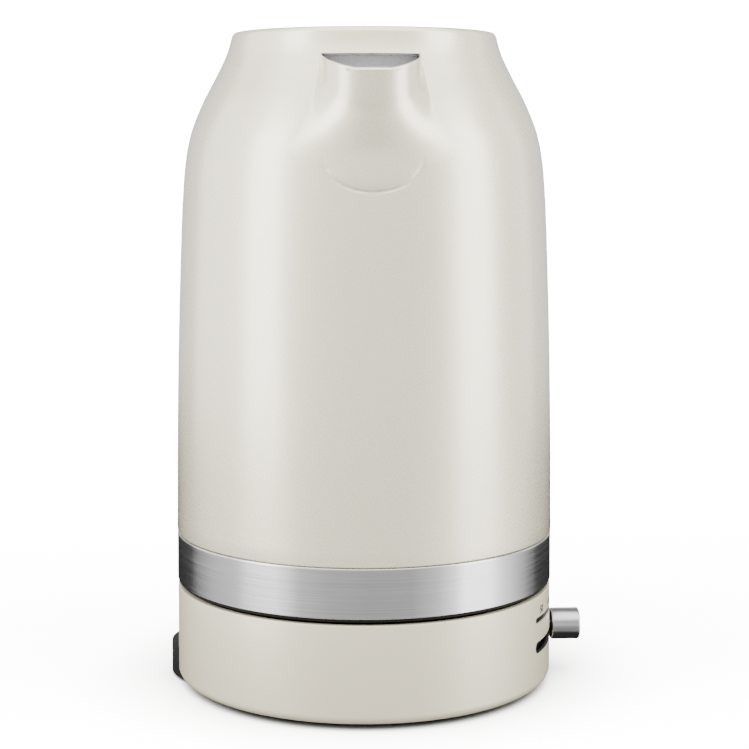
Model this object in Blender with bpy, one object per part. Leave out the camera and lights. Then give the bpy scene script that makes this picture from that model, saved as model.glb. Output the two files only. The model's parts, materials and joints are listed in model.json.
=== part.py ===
"""Electric kettle: a lift-off jug with a hinged lid on a corded base.

Millimetre dimensions, +Z up, origin on the table under the jug's axis.  The
spout points along -Y, the handle along +Y, the temperature lever along +X.
"""
from math import atan2, cos, degrees, pi, radians, sin, sqrt

import bmesh
import bpy
from mathutils import Matrix, Vector

# ------------------------------------------------------------ driving dimensions
MM = 0.001
GAP = 0.3                 # clearance between neighbouring pieces

BASE_R = 75.0             # base housing, outer radius
BASE_TOP = 39.7
BASE_WALL = 2.4
BASE_UNDERSIDE = 1.8
BASE_ROUND = 3.6          # round at the foot of the housing
PLATE_BOTTOM = 1.5
BOSS_BOTTOM = 1.0         # flat boss in the middle of the underside
DECK_TOP = 38.6

LEVER_Z = 19.0            # height of the lever's knob and slot
SLOT_HALF_ANGLE = 30.0
SLOT_HEIGHT = 4.5
SCALE_Z = 29.8            # height of the lit scale strip
SCALE_HEIGHT = 2.2
KNOB_R = 6.3
KNOB_ROOT = 76.2
KNOB_TIP = 87.8
STEM_END = 59.4           # the stem stops 1.2 mm short of the start switch

OUTLET_ANGLE = 173.0      # direction of the cord outlet, from +X
OUTLET_CENTRE = 49.8      # centre of the outlet's round nose
OUTLET_R = 28.7
OUTLET_BACK = 60.0
OUTLET_TOP = 13.2

BAND_BOTTOM = 41.1        # brushed band at the foot of the jug
BAND_TOP = 60.2
BAND_R = 75.2
SHELL_BOTTOM = 60.6
SHELL_WALL = 2.0
RIM_TOP = 258.8
COLLAR_Z = 248.5          # lower edge of the collar that bridges the spout
LIP_Z = 242.5             # lowest point of the pouring lip
SPOUT_FOOT = 197.0
MOUTH_HALF_ANGLE = 19.4
LIP_FLAT_ANGLE = 5.2
# The spout is a round nose: how far it reaches from the jug's axis at a few heights, and its radius.
SPOUT_REACH = ((197.0, 72.25), (200.0, 72.5), (203.0, 72.6), (207.0, 72.5), (213.0, 72.2),
               (221.6, 73.2), (232.0, 74.6), (242.5, 75.7))
SPOUT_NOSE = ((197.0, 50.0), (207.0, 50.0), (213.0, 46.0), (221.6, 33.0), (232.0, 24.0),
              (242.5, 18.5))

VESSEL_FLOOR = 66.0
VESSEL_WALL = 0.8
VESSEL_TOP = 247.4

HINGE_Y = 42.0
HINGE_Z = 256.3
LID_R = 48.4
LID_TOP = 258.7
LID_CUT_Y = 38.0

HANDLE_WIDTH = 27.0
HANDLE_WALL = 2.4
HANDLE_SPLIT = 0.7        # share of the handle's depth taken by its outer shell
END_GAP = 0.7             # the handle's flat ends stand this far off the round jug

ROUND = 48                # segments of the large turned pieces
SMALL_ROUND = 24

# The jug's outline: radius at a few heights, joined by a smooth curve.
JUG_OUTLINE = ((60.6, 75.3), (112.0, 74.9), (160.0, 73.8), (200.0, 72.1), (217.0, 69.7),
               (230.0, 64.9), (242.4, 58.55), (250.3, 54.9), (258.8, 52.4))


# Heights of the rows of faces that the jug's outer shell and its vessel share.
JUG_ROWS = (130.0, 180.0, 197.0, 204.0, 212.0, 221.0, 230.0, 239.0)

# ------------------------------------------------------------ scene and materials
def clear_scene():
    for thing in list(bpy.data.objects):
        bpy.data.objects.remove(thing, do_unlink=True)


def make_material(name, colour, roughness, metallic=0.0):
    material = bpy.data.materials.new(name)
    material.use_nodes = True
    shader = material.node_tree.nodes["Principled BSDF"]
    shader.inputs["Base Color"].default_value = (*colour, 1.0)
    shader.inputs["Roughness"].default_value = roughness
    shader.inputs["Metallic"].default_value = metallic
    material.diffuse_color = (*colour, 1.0)
    return material


def make_materials():
    return {
        "cream": make_material("cream_gloss", (0.76, 0.72, 0.62), 0.25),
        "brushed": make_material("brushed_steel", (0.55, 0.55, 0.54), 0.35, 1.0),
        "steel": make_material("stainless_steel", (0.62, 0.62, 0.61), 0.25, 1.0),
        "chrome": make_material("satin_chrome", (0.58, 0.58, 0.58), 0.22, 1.0),
        "black": make_material("black_plastic", (0.02, 0.02, 0.02), 0.5),
        "grey": make_material("grey_plastic", (0.55, 0.55, 0.54), 0.45),
        "rubber": make_material("foot_rubber", (0.03, 0.03, 0.03), 0.9),
        "silicone": make_material("seal_silicone", (0.6, 0.6, 0.58), 0.7),
        "board": make_material("circuit_board", (0.02, 0.18, 0.07), 0.5),
        "brass": make_material("contact_brass", (0.7, 0.52, 0.22), 0.3, 1.0),
        "aluminium": make_material("cast_aluminium", (0.6, 0.6, 0.61), 0.45, 1.0),
        "smoke": make_material("smoked_window", (0.03, 0.03, 0.035), 0.15),
    }


# ------------------------------------------------------------ mesh helpers
def finish_mesh(name, mesh_data, material, sharp=35.0, weld=0.00001):
    """Turn a bmesh into an object with outward faces and smooth round sides."""
    bmesh.ops.remove_doubles(mesh_data, verts=mesh_data.verts, dist=weld)
    bmesh.ops.recalc_face_normals(mesh_data, faces=mesh_data.faces)
    mesh = bpy.data.meshes.new(name)
    mesh_data.to_mesh(mesh)
    mesh_data.free()
    mesh.shade_smooth()
    mesh.set_sharp_from_angle(angle=radians(sharp))
    thing = bpy.data.objects.new(name, mesh)
    if material is not None:
        mesh.materials.append(material)
    bpy.context.collection.objects.link(thing)
    return thing


def lofted(name, rings, material, closed=False, weld=0.00001):
    """Join rings of points; cap both ends, or join the last ring to the first."""
    shape = bmesh.new()
    made = [[shape.verts.new(Vector(point) * MM) for point in ring] for ring in rings]
    pairs = list(zip(made, made[1:]))
    if closed:
        pairs.append((made[-1], made[0]))
    for lower, upper in pairs:
        count = len(lower)
        for i in range(count):
            j = (i + 1) % count
            shape.faces.new((lower[i], lower[j], upper[j], upper[i]))
    if not closed:
        shape.faces.new(made[0])
        shape.faces.new(made[-1])
    return finish_mesh(name, shape, material, weld=weld)


def turned(name, outline, material, segments=ROUND, centre=(0.0, 0.0), start=0.0, sweep=360.0):
    """Turn an outline of (radius, z) about a vertical axis, wholly or in part."""
    whole = sweep >= 360.0
    steps = segments if whole else segments + 1
    angles = [radians(start + sweep * i / segments) for i in range(steps)]

    def column(angle):
        return [(centre[0] + r * cos(angle), centre[1] + r * sin(angle), z) for r, z in outline]

    on_axis = outline[0][0] == 0.0 and outline[-1][0] == 0.0
    if on_axis:
        rings = [[(centre[0] + r * cos(a), centre[1] + r * sin(a), z) for a in angles]
                 for r, z in outline[1:-1]]
        return lofted(name, rings, material)
    return lofted(name, [column(angle) for angle in angles], material, closed=whole)


def disc(radius, bottom, top, edge=0.0):
    """Outline of a solid disc, with a chamfer round its upper edge."""
    return [(0.0, bottom), (radius, bottom), (radius, top - edge), (radius - edge, top),
            (0.0, top)] if edge else [(0.0, bottom), (radius, bottom), (radius, top), (0.0, top)]


def tube(inner, outer, bottom, top):
    return [(inner, bottom), (outer, bottom), (outer, top), (inner, top)]


def prism(name, outline, low, high, material, along="Z", bevel=0.0):
    """Extrude a flat outline.  along Z takes (x, y), X takes (y, z), Y takes (x, z)."""
    place = {"Z": lambda a, b, c: (a, b, c), "X": lambda a, b, c: (c, a, b),
             "Y": lambda a, b, c: (a, c, b)}[along]
    rings = [[place(a, b, level) for a, b in outline] for level in (low, high)]
    thing = lofted(name, rings, material)
    if bevel:
        soften = thing.modifiers.new("edges", "BEVEL")
        soften.width = bevel * MM
        soften.segments = 2
        soften.limit_method = "ANGLE"
    return thing


def block(name, low, high, material, bevel=0.0):
    outline = [(low[0], low[1]), (high[0], low[1]), (high[0], high[1]), (low[0], high[1])]
    return prism(name, outline, low[2], high[2], material, bevel=bevel)


def cylinder(name, radius, low, high, material, centre=(0.0, 0.0), along="Z", segments=SMALL_ROUND):
    outline = [(centre[0] + radius * cos(2 * pi * i / segments),
                centre[1] + radius * sin(2 * pi * i / segments)) for i in range(segments)]
    return prism(name, outline, low, high, material, along=along)


def helix(name, centre, radius, wire, low, high, turns, material):
    """A coil spring standing upright, as a bevelled curve with filled ends."""
    curve = bpy.data.curves.new(name, "CURVE")
    curve.dimensions = "3D"
    curve.bevel_depth = wire * MM
    curve.bevel_resolution = 0
    curve.use_fill_caps = True
    curve.materials.append(material)
    count = int(turns * 8) + 1
    line = curve.splines.new("POLY")
    line.points.add(count - 1)
    for i, point in enumerate(line.points):
        angle = 2 * pi * turns * i / (count - 1)
        height = low + wire + (high - low - 2 * wire) * i / (count - 1)
        place = Vector((centre[0] + radius * cos(angle), centre[1] + radius * sin(angle), height))
        point.co = (*(place * MM), 1.0)
    thing = bpy.data.objects.new(name, curve)
    bpy.context.collection.objects.link(thing)
    return thing


def combine(thing, tool, operation):
    """Cut or join with another shape, which stays behind as a hidden guide."""
    step = thing.modifiers.new(tool.name, "BOOLEAN")
    step.operation = operation
    step.object = tool
    tool.hide_render = True
    tool.display_type = "WIRE"


def cut(thing, *tools):
    for tool in tools:
        combine(thing, tool, "DIFFERENCE")


def add(thing, *tools):
    for tool in tools:
        combine(thing, tool, "UNION")


def polar(radius, angle):
    return radius * cos(radians(angle)), radius * sin(radians(angle))


def arc_points(centre, radius, start, end, count):
    """Points of an arc in a plane, from one angle to another in degrees."""
    turn = [radians(start + (end - start) * i / (count - 1)) for i in range(count)]
    return [(centre[0] + radius * cos(a), centre[1] + radius * sin(a)) for a in turn]


def sector(inner, outer, half_angle, steps, middle=0.0):
    """Plan outline of a curved strip, centred on one direction."""
    outside = arc_points((0.0, 0.0), outer, middle - half_angle, middle + half_angle, steps)
    inside = arc_points((0.0, 0.0), inner, middle + half_angle, middle - half_angle, steps)
    return outside + inside


# ------------------------------------------------------------ the jug's surface
def smooth_curve(knots, where):
    """Smooth cubic through (position, value) knots; it stays level past either end."""
    slopes = []
    for i in range(len(knots)):
        before, after = knots[max(i - 1, 0)], knots[min(i + 1, len(knots) - 1)]
        slopes.append((after[1] - before[1]) / (after[0] - before[0]))
    where = min(max(where, knots[0][0]), knots[-1][0])
    for i in range(len(knots) - 1):
        (a, va), (b, vb) = knots[i], knots[i + 1]
        if where <= b:
            span = b - a
            t = (where - a) / span
            return ((2 * t ** 3 - 3 * t ** 2 + 1) * va + (t ** 3 - 2 * t ** 2 + t) * span * slopes[i]
                    + (3 * t ** 2 - 2 * t ** 3) * vb + (t ** 3 - t ** 2) * span * slopes[i + 1])
    return knots[-1][1]


def body_radius(z):
    return smooth_curve(JUG_OUTLINE, z)


def spout_radius(angle, z):
    """Distance to the spout's round nose along a ray, 0 where the ray misses it."""
    if z < SPOUT_FOOT or cos(angle) <= 0.0:
        return 0.0
    nose = smooth_curve(SPOUT_NOSE, z)
    centre = smooth_curve(SPOUT_REACH, z) - nose
    inside = nose ** 2 - (centre * sin(angle)) ** 2
    return centre * cos(angle) + sqrt(inside) if inside > 0.0 else 0.0


def jug_radius(angle, z):
    """Outer radius of the jug; angle is from the spout's direction, in radians."""
    round_body, nose = body_radius(z), spout_radius(angle, z)
    blend = 0.4 + 2.0 * min(max((z - 205.0) / 30.0, 0.0), 1.0)
    return max(round_body, nose, 0.5 * (round_body + nose + blend)
               if abs(round_body - nose) < blend else 0.0) if nose else round_body


def lip_height(angle):
    """Height of the pouring lip, rising from the middle to the ends of the mouth."""
    share = (abs(degrees(angle)) - LIP_FLAT_ANGLE) / (MOUTH_HALF_ANGLE - LIP_FLAT_ANGLE)
    return LIP_Z + (COLLAR_Z - LIP_Z) * min(max(share, 0.0), 1.0)


def jug_angles():
    """Directions of the jug's columns from the spout, closer together on the spout."""
    half = [MOUTH_HALF_ANGLE * i / 6 for i in range(7)]
    half += [MOUTH_HALF_ANGLE + 4.6, 30.0]
    half += [30.0 + 150.0 * i / 15 for i in range(1, 16)]
    return [radians(a) for a in half] + [radians(-a) for a in reversed(half[1:-1])]


def jug_point(radius, angle, z):
    return (radius * sin(angle), -radius * cos(angle), z)


def in_mouth(angle):
    return abs(degrees(angle)) <= MOUTH_HALF_ANGLE + 0.01


def squeezed(angle, z, top):
    """Row heights follow the lip inside the mouth and stay level elsewhere."""
    level = 221.0
    if not in_mouth(angle) or z <= level:
        return z
    return level + (z - level) * (lip_height(angle) - (COLLAR_Z - top) - level) / (top - level)


def make_outer_shell(m):
    """The painted outer wall, its spout and the collar over the spout's mouth."""
    angles = jug_angles()
    heights = [SHELL_BOTTOM, *JUG_ROWS, COLLAR_Z]
    collar = [COLLAR_Z, 252.0, 255.5, RIM_TOP - 1.0]

    def ring(offset, z, squeeze=True):
        row = []
        for angle in angles:
            height = squeezed(angle, z, COLLAR_Z) if squeeze else z
            at_end = abs(abs(degrees(angle)) - MOUTH_HALF_ANGLE) < 0.01
            bare = in_mouth(angle) and not at_end and not squeeze
            radius = body_radius(height) if bare else jug_radius(angle, height)
            row.append(jug_point(radius - offset, angle, height))
        return row

    def plain(radius, z):
        return [jug_point(radius, angle, z) for angle in angles]

    rim = body_radius(RIM_TOP)
    outer = [plain(74.0, 43.2), plain(74.0, SHELL_BOTTOM)] + [ring(0.0, z) for z in heights]
    outer_collar = [ring(0.0, z, False) for z in collar]
    top = [plain(rim - 0.6, RIM_TOP), plain(rim - 1.5, RIM_TOP)]
    inner_collar = [ring(SHELL_WALL, z, False) for z in reversed(collar)]
    inner = [ring(SHELL_WALL, z) for z in reversed(heights[1:])]
    inner += [plain(72.0, 64.0), plain(72.0, 43.2)]

    shape = bmesh.new()

    def strip(rings):
        made = [[shape.verts.new(Vector(p) * MM) for p in row] for row in rings]
        for lower, upper in zip(made, made[1:]):
            for i in range(len(angles)):
                j = (i + 1) % len(angles)
                shape.faces.new((lower[i], lower[j], upper[j], upper[i]))
        return made

    walls = strip(inner + [outer[0]] + outer[1:])
    crown = strip(outer_collar + top + inner_collar)
    for first, second in ((walls[0], walls[-1]), (crown[0], crown[-1])):
        for i in range(len(angles)):
            j = (i + 1) % len(angles)
            if in_mouth(angles[i]) and in_mouth(angles[j]):
                shape.faces.new((first[i], first[j], second[j], second[i]))
    shell = finish_mesh("outer_shell", shape, m["cream"])
    cut(shell, block("cutter_shell_bolt", (-4.7, 46.0, 247.9), (4.7, 62.0, 251.2), None))
    return shell


def vessel_offset(z):
    """Air gap and wall between the jug's outside and the steel vessel."""
    return 7.0 - 3.2 * min(max((z - 178.0) / 34.0, 0.0), 1.0)


def make_inner_vessel(m):
    angles = jug_angles()
    heights = [VESSEL_FLOOR + 6.0, *JUG_ROWS, VESSEL_TOP]

    def ring(z, extra):
        row = []
        for angle in angles:
            height = squeezed(angle, z, VESSEL_TOP)
            row.append(jug_point(jug_radius(angle, height) - vessel_offset(height) - extra,
                                 angle, height))
        return row

    def plain(radius, z):
        return [jug_point(radius, angle, z) for angle in angles]

    side = body_radius(VESSEL_FLOOR) - vessel_offset(VESSEL_FLOOR)
    outer = [plain(side - 6.0, VESSEL_FLOOR), plain(side - 1.8, VESSEL_FLOOR + 1.8)]
    outer += [ring(z, 0.0) for z in heights]
    inner = [ring(z, VESSEL_WALL) for z in reversed(heights)]
    inner += [plain(side - 2.6, VESSEL_FLOOR + 2.6), plain(side - 6.4, VESSEL_FLOOR + VESSEL_WALL)]
    return lofted("inner_vessel", outer + inner, m["steel"])


# ------------------------------------------------------------ the base
def outlet_outline(grow=0.0):
    """Plan of the cord outlet: a round nose with a flat back, turned to its direction."""
    back, radius = OUTLET_BACK - grow, OUTLET_R + grow
    half = degrees(atan2(sqrt(radius ** 2 - (back - OUTLET_CENTRE) ** 2), back - OUTLET_CENTRE))
    points = arc_points((OUTLET_CENTRE, 0.0), radius, -half, half, 15)
    turn = Matrix.Rotation(radians(OUTLET_ANGLE), 2)
    return [tuple(turn @ Vector(point)) for point in points]


def make_base_housing(m):
    inner = BASE_R - BASE_WALL
    foot = arc_points((BASE_R - BASE_ROUND, BASE_UNDERSIDE + BASE_ROUND), BASE_ROUND, -90.0, 0.0, 5)
    outline = foot + [(BASE_R, BASE_TOP - 0.8), (BASE_R - 0.8, BASE_TOP), (inner, BASE_TOP),
                      (inner, 7.0), (69.4, 4.6), (69.4, BASE_UNDERSIDE)]
    housing = turned("base_housing", outline, m["cream"], segments=60, start=3.0)
    for name, z, height in (("lever", LEVER_Z, SLOT_HEIGHT), ("scale", SCALE_Z, SCALE_HEIGHT)):
        window = prism(f"cutter_{name}_slot", sector(68.0, 80.0, SLOT_HALF_ANGLE, 25),
                       z - height / 2, z + height / 2, None)
        cut(housing, window)
    notch = prism("cutter_outlet", outlet_outline(GAP), -5.0, OUTLET_TOP + GAP, None)
    cut(housing, notch)
    return housing


def make_bottom_plate(m):
    plate = turned("base_bottom_plate", [(0.0, BOSS_BOTTOM), (25.0, BOSS_BOTTOM), (25.0, PLATE_BOTTOM),
                                         (69.0, PLATE_BOTTOM), (69.0, 4.0), (0.0, 4.0)], m["black"])
    notch = prism("cutter_plate_outlet", outlet_outline(GAP), -5.0, 12.0, None)
    cut(plate, notch)
    for number, angle in enumerate((45.0, 135.0, 225.0, 315.0), 1):
        turned(f"rubber_foot_{number}", disc(7.5, 0.0, PLATE_BOTTOM - GAP), m["rubber"],
               SMALL_ROUND, centre=polar(52.0, angle))
    for number, angle in enumerate((90.0, 215.0, 325.0), 1):
        place = polar(60.0, angle)
        cut(plate, cylinder(f"cutter_screw_{number}", 3.3, 0.0, 5.0, None, place, segments=16))
        turned(f"base_screw_{number}", [(0.0, 1.9), (3.0, 1.9), (3.0, 3.7), (1.5, 3.7), (1.5, 14.0),
                                        (0.0, 14.0)], m["steel"], 12, centre=place)
    return plate


def make_cord_outlet(m):
    outlet = prism("cord_outlet", outlet_outline(), 1.0, OUTLET_TOP, m["black"])
    turn = Matrix.Rotation(radians(OUTLET_ANGLE), 4, "Z")
    hole = cylinder("cutter_cord_hole", 3.6, 55.0, 85.0, None, (0.0, 8.6), "X", 16)
    hole.matrix_world = turn
    cut(outlet, hole)
    clamp = block("cord_clamp", (49.0, -9.0, 4.6), (56.0, 9.0, 13.0), m["grey"])
    clamp.matrix_world = turn
    terminal = block("mains_terminal", (28.0, -12.0, 4.6), (44.0, 12.0, 16.0), m["grey"], 0.6)
    terminal.matrix_world = turn


def make_deck(m):
    edge = 72.2
    turned("base_deck", [(13.2, 36.0), (edge, 36.0), (edge, DECK_TOP - 0.6), (edge - 0.6, DECK_TOP),
                         (13.2, DECK_TOP)], m["black"])
    turned("connector_post", [(9.4, 30.0), (22.0, 30.0), (22.0, 33.0), (12.6, 33.0), (12.6, 48.2),
                              (11.8, 49.0), (9.4, 49.0)], m["grey"], 32)
    turned("connector_pin", [(0.0, 30.0), (2.0, 30.0), (2.0, 45.6), (1.2, 46.5), (0.0, 46.5)],
           m["brass"], 16)
    turned("contact_ring", tube(7.4, 8.6, 30.0, 45.0), m["brass"], 32)
    turned("connector_carrier", disc(21.0, 24.0, 29.7), m["black"], 32)
    turned("connector_shutter", tube(13.2, 18.0, DECK_TOP + GAP, 40.0), m["grey"], 40)


def make_lever(m):
    """The temperature lever: a carriage behind the slot, its switch and push knob."""
    inner = BASE_R - BASE_WALL
    carriage = prism("lever_carriage", [(54.0, -8.0), (66.5, -8.0), (66.5, 8.0), (54.0, 8.0)],
                     12.6, 14.2, m["black"])
    wall = prism("guide_carriage_wall", sector(66.0, inner - 0.4, 6.6, 5), 12.6, 24.0, None)
    shade = prism("guide_slot_shade", sector(inner - 1.4, inner - 0.4, 57.0, 29), 15.9, 22.1, None)
    add(carriage, wall, shade)
    bore = cylinder("cutter_stem_bore", 2.15, 60.0, 76.0, None, (0.0, LEVER_Z), "X", 16)
    cut(carriage, bore)
    block("start_switch", (54.6, -4.0, 14.5), (58.2, 4.0, 23.0), m["black"])

    stem, root, tip = 1.8, KNOB_ROOT, KNOB_TIP
    outline = [(STEM_END, stem), (root, stem), (root, KNOB_R - 0.5), (root + 0.5, KNOB_R),
               (tip - 0.9, KNOB_R), (tip, KNOB_R - 0.9)]
    rings = [[(x, r * cos(2 * pi * i / 24), LEVER_Z + r * sin(2 * pi * i / 24)) for i in range(24)]
             for x, r in outline]
    lofted("control_knob", rings, m["chrome"])

    prism("scale_window", sector(inner - 1.2, BASE_R - 0.2, SLOT_HALF_ANGLE - 0.3, 21),
          SCALE_Z - 0.8, SCALE_Z + 0.8, m["smoke"])
    prism("scale_light_board", sector(66.0, 67.6, 28.0, 13), 25.5, 34.5, m["board"])


def make_electronics(m):
    block("control_board", (-18.0, -31.0, 6.4), (44.0, 31.0, 8.0), m["board"])
    block("power_relay", (12.0, -29.0, 8.3), (28.0, -13.0, 22.0), m["black"], 0.6)
    block("transformer", (4.0, 6.0, 8.3), (30.0, 28.0, 22.5), m["brass"], 0.6)
    block("potentiometer", (34.0, -12.0, 8.3), (43.0, 12.0, 12.2), m["grey"], 0.4)


# ------------------------------------------------------------ the jug
def make_jug_foot(m):
    turned("trim_band", [(74.3, BAND_BOTTOM), (BAND_R - 0.3, BAND_BOTTOM), (BAND_R, BAND_BOTTOM + 0.3),
                         (BAND_R, BAND_TOP - 0.4), (BAND_R - 0.4, BAND_TOP), (74.3, BAND_TOP)],
           m["brushed"], 60)
    cover = [(13.4, 40.3), (73.4, 40.3), (73.4, 42.9), (13.4, 42.9)]
    turned("jug_bottom_cover", cover, m["black"])
    socket = [(0.0, 52.4), (2.8, 52.4), (2.8, 43.2), (4.0, 43.2), (4.0, 50.0), (13.4, 50.0),
              (13.4, 43.2), (17.0, 43.2), (17.0, 54.0), (0.0, 54.0)]
    turned("jug_connector", socket, m["grey"], 32)
    block("thermostat_block", (-20.0, -15.0, 54.3), (20.0, 15.0, 60.0), m["black"], 0.6)
    turned("heater_plate", disc(62.0, 62.9, VESSEL_FLOOR - GAP), m["aluminium"])
    ring = arc_points((45.0, 59.3), 3.2, 0.0, 300.0, 6)
    turned("heating_element", ring, m["steel"], 30, start=-70.0, sweep=320.0)
    turned("temperature_sensor", disc(3.0, 46.0, 62.6, 0.6), m["steel"], 16, centre=(0.0, -27.0))
    for number, angle in enumerate((30.0, 150.0, 270.0), 1):
        turned(f"cover_screw_{number}", [(0.0, 43.2), (3.2, 43.2), (3.2, 45.0), (1.6, 45.0),
                                         (1.6, 54.0), (0.0, 54.0)], m["steel"], 12,
               centre=polar(60.0, angle))


def make_neck(m):
    """The ring under the rim that seals the vessel and carries the lid."""
    outline = [(45.6, 241.0), (47.6, 241.0), (48.6, 247.9), (51.8, 247.9), (51.8, 250.5),
               (50.0, 257.3), (48.9, 257.3), (48.9, 253.6), (45.6, 253.6)]
    ring = turned("neck_ring", outline, m["grey"])
    cut(ring, block("cutter_neck_bolt", (-4.6, 42.0, 247.95), (4.6, 54.0, 251.3), None))
    bracket = prism("hinge_bracket", [(-29.0, LID_CUT_Y + 0.6), (29.0, LID_CUT_Y + 0.6)]
                    + arc_points((0.0, 0.0), 48.5, 53.2, 126.8, 15), 253.9, 258.4, m["cream"])
    notch = block("cutter_barrel", (-15.5, 30.0, 250.0), (15.5, HINGE_Y + 2.9, 262.0), None)
    pin_hole = cylinder("cutter_pin_bracket", 1.3, -20.0, 20.0, None, (HINGE_Y, HINGE_Z), "X", 12)
    cut(bracket, notch, pin_hole)
    cylinder("hinge_pin", 1.0, -19.4, 19.4, m["steel"], (HINGE_Y, HINGE_Z), "X", 12)


def make_lid(m):
    """A shallow cover with a hinge barrel, and the hollow plug under it."""
    cover = turned("lid_cover", [(0.0, 255.0), (LID_R, 255.0), (LID_R, LID_TOP - 1.0),
                                 (LID_R - 0.3, LID_TOP - 0.3), (LID_R - 1.0, LID_TOP), (0.0, LID_TOP)],
                   m["cream"])
    cut(cover, block("cutter_lid_back", (-60.0, LID_CUT_Y, 240.0), (60.0, 70.0, 270.0), None))
    barrel = cylinder("guide_barrel", 2.3, -15.0, 15.0, None, (HINGE_Y, HINGE_Z), "X", 16)
    arm = block("guide_barrel_arm", (-15.0, LID_CUT_Y - 2.0, 255.3), (15.0, HINGE_Y, 258.3), None)
    add(cover, arm, barrel)
    cut(cover, cylinder("cutter_pin_lid", 1.3, -16.0, 16.0, None, (HINGE_Y, HINGE_Z), "X", 12))

    plug = turned("lid_plug", [(0.0, 243.0), (42.0, 243.0), (43.0, 244.0), (44.4, 254.7),
                               (42.4, 254.7), (41.2, 245.0), (0.0, 245.0)], m["steel"])
    cut(plug, block("cutter_plug_back", (-60.0, LID_CUT_Y - 1.0, 235.0), (60.0, 70.0, 270.0), None))
    seal = turned("lid_seal", tube(44.8, 47.6, 253.9, 254.7), m["silicone"])
    cut(seal, block("cutter_seal_back", (-60.0, LID_CUT_Y - 0.4, 250.0), (60.0, 60.0, 256.0), None))
    block("lid_catch", (-5.0, LID_CUT_Y - 0.7, 246.4), (5.0, 44.0, 248.2), m["steel"])


def make_filter(m):
    """The pour-through filter that hangs inside the spout, under the neck ring."""
    frame = block("filter_frame", (-22.0, -50.0, 206.0), (22.0, -47.4, 239.6), m["grey"])
    cut(frame, block("cutter_filter_window", (-19.0, -55.0, 209.0), (19.0, -40.0, 236.0), None))
    wires = block("filter_mesh", (-18.7, -49.0, 209.3), (18.7, -48.4, 235.7), m["steel"])
    for column in range(4):
        for row in range(3):
            x, z = -13.8 + 9.2 * column, 214.0 + 8.5 * row
            cut(wires, block(f"cutter_mesh_{column}_{row}", (x - 3.6, -52.0, z - 3.2),
                             (x + 3.6, -45.0, z + 3.2), None))


# ------------------------------------------------------------ the handle
def handle_stations():
    """Matching points down the handle's outer and inner faces, as (y, z) pairs."""
    outer = [(54.0, 253.6), (72.0, 254.2), (90.0, 254.2), (104.0, 253.4), (118.0, 249.0),
             (130.0, 238.5), (136.6, 222.0), (138.0, 200.0), (136.5, 170.0), (133.5, 140.0),
             (128.0, 120.0), (116.0, 104.0), (98.0, 95.0), (84.0, 92.5), (74.0, 92.0)]
    inner = [(62.0, 229.0), (74.0, 229.5), (86.0, 229.5), (95.0, 228.6), (104.0, 225.0),
             (110.6, 218.0), (113.2, 208.0), (114.0, 195.0), (112.8, 170.0), (110.4, 146.0),
             (106.6, 132.0), (100.0, 122.5), (91.0, 117.5), (83.0, 116.0), (74.0, 116.0)]
    return list(zip(outer, inner))


def swept_handle(name, section, material):
    """Sweep a section along the handle; section(depth) gives (x, share-depth) points."""
    stations = handle_stations()
    rings = []
    for number, (outside, inside) in enumerate(stations):
        outer, inner = Vector(outside), Vector(inside)
        depth = (inner - outer).length
        direction = (inner - outer) / depth
        ring = []
        for x, n in section(depth):
            y, z = outer + direction * n
            if number in (0, len(stations) - 1):
                y = body_radius(z) + END_GAP
            ring.append((x, y, z))
        rings.append(ring)
    return lofted(name, rings, material)


def shell_section(depth):
    half, wall, corner = HANDLE_WIDTH / 2, HANDLE_WALL, 6.0
    end = depth * HANDLE_SPLIT
    left = arc_points((-half + corner, corner), corner, 180.0, 270.0, 4)
    right = arc_points((half - corner, corner), corner, 270.0, 360.0, 4)
    inner_right = arc_points((half - corner, corner), corner - wall, 360.0, 270.0, 3)
    inner_left = arc_points((-half + corner, corner), corner - wall, 270.0, 180.0, 3)
    return ([(-half, end)] + left + right + [(half, end), (half - wall, end)] + inner_right
            + inner_left + [(-half + wall, end)])


def grip_section(depth):
    half, corner = HANDLE_WIDTH / 2 - 0.5, 4.0
    start = depth * HANDLE_SPLIT + GAP
    left = arc_points((-half + corner, depth - corner), corner, 180.0, 90.0, 4)
    right = arc_points((half - corner, depth - corner), corner, 90.0, 0.0, 4)
    return [(-half, start)] + left + right + [(half, start)]


def make_handle(m):
    shell = swept_handle("handle_shell", shell_section, m["cream"])
    cut(shell, block("cutter_button_hole", (-8.4, 76.0, 244.0), (8.4, 104.4, 262.0), None))
    swept_handle("handle_grip", grip_section, m["black"])

    slab = prism("release_button", [(76.4, 251.4), (104.0, 251.4), (104.0, 256.2), (76.4, 256.2)],
                 -8.0, 8.0, m["chrome"], along="X")
    stem = prism("guide_button_stem", [(83.0, 240.6), (84.0, 240.6), (92.5, 249.1), (92.5, 252.0),
                                       (83.0, 252.0)], -3.8, 3.8, None, along="X")
    add(slab, stem)

    bolt = prism("latch_bolt", [(44.7, 248.4), (66.0, 248.4), (66.0, 243.0), (78.0, 243.0),
                                (78.0, 245.4), (70.0, 245.4), (70.0, 250.7), (44.7, 250.7)],
                 -4.0, 4.0, m["steel"], along="X")
    frame = block("guide_bolt_frame", (-7.5, 75.0, 243.0), (7.5, 91.0, 245.4), None)
    add(bolt, frame)
    cut(bolt, block("cutter_bolt_window", (-4.4, 79.0, 240.0), (4.4, 89.2, 256.0), None))
    helix("button_spring", (0.0, 100.0), 2.4, 0.4, 237.6, 251.0, 6.0, m["steel"])


def main():
    clear_scene()
    materials = make_materials()
    for maker in (make_base_housing, make_bottom_plate, make_cord_outlet, make_deck, make_lever,
                  make_electronics, make_outer_shell, make_inner_vessel, make_jug_foot, make_neck,
                  make_lid, make_filter, make_handle):
        maker(materials)


main()
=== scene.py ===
"""The kettle's looks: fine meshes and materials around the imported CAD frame."""
import json
from math import atan2, cos, degrees, pi, radians, sin, sqrt

import bmesh
import bpy
from mathutils import Matrix, Vector


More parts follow.
